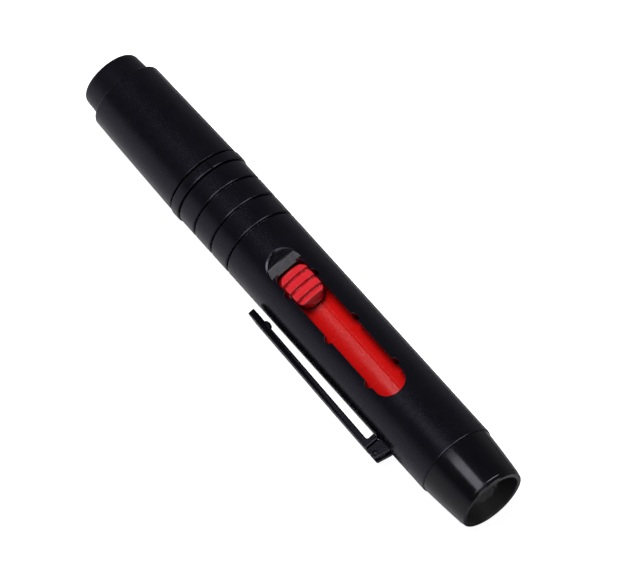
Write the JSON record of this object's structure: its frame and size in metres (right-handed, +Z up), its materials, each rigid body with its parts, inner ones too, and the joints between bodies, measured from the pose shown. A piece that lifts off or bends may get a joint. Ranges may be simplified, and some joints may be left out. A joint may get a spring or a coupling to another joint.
{
  "type": "lens cleaning pen",
  "caption": "Lens cleaning pen: a ribbed slider extends a soft brush from the nozzle, a capped carbon cleaning tip at the other end, and a hinged pocket clip beside the barrel.",
  "frame": {"origin": "centre of the bounding box's bottom, on the surface that the pen lies on", "axes": "+X along the pen towards the brush nozzle, +Z up, the slider slot faces up and towards -Y, the clip down and towards -Y"},
  "size_m": [0.1112, 0.0178, 0.016],
  "materials": {
    "satin_black": "satin moulded",
    "gloss_black": "gloss moulded",
    "red_plastic": "satin moulded",
    "deep_red_plastic": "semi-gloss moulded",
    "black_rubber": "matt",
    "steel": "bright",
    "brush_hair": "soft hair",
    "carbon_sponge": "foam loaded with carbon powder",
    "chamois": "soft suede"
  },
  "bodies": {
    "pen_body": {"barrel": "satin_black", "nozzle": "gloss_black", "clip_pin": "steel", "stem_plug": "satin_black", "tip_stem": "satin_black", "friction_ring_front": "black_rubber", "friction_ring_rear": "black_rubber", "tip_neck": "black_rubber", "tip_pad_holder": "satin_black", "tip_pad": "chamois"},
    "brush": {"slider_button": "red_plastic", "brush_carrier": "deep_red_plastic", "detent_spring": "steel", "brush_ferrule": "steel", "brush_bristles": "brush_hair"},
    "collar": {"collar_ring": "satin_black"},
    "cap": {"cap_shell": "satin_black", "cap_end_plug": "satin_black", "sponge_cup": "satin_black", "carbon_sponge": "carbon_sponge"},
    "clip": {"pocket_clip": "satin_black"}
  },
  "joints": [
    {"name": "brush_slide", "type": "slide", "parent": "pen_body", "child": "brush", "axis": [1, 0, 0], "range_m": [0, 0.0231]},
    {"name": "cap_twist", "type": "hinge", "parent": "pen_body", "child": "collar", "pos_m": [-0.0262, 0.00093, 0.008], "axis": [1, 0, 0], "continuous": true},
    {"name": "cap_pull", "type": "slide", "parent": "collar", "child": "cap", "axis": [-1, 0, 0], "range_m": [0, 0.025]},
    {"name": "clip_hinge", "type": "hinge", "parent": "pen_body", "child": "clip", "pos_m": [0.0348, -0.00711, 0.00215], "axis": [0, -0.5878, 0.809], "range_deg": [0, 5], "stiffness_Nm_per_rad": 0.1}
  ]
}
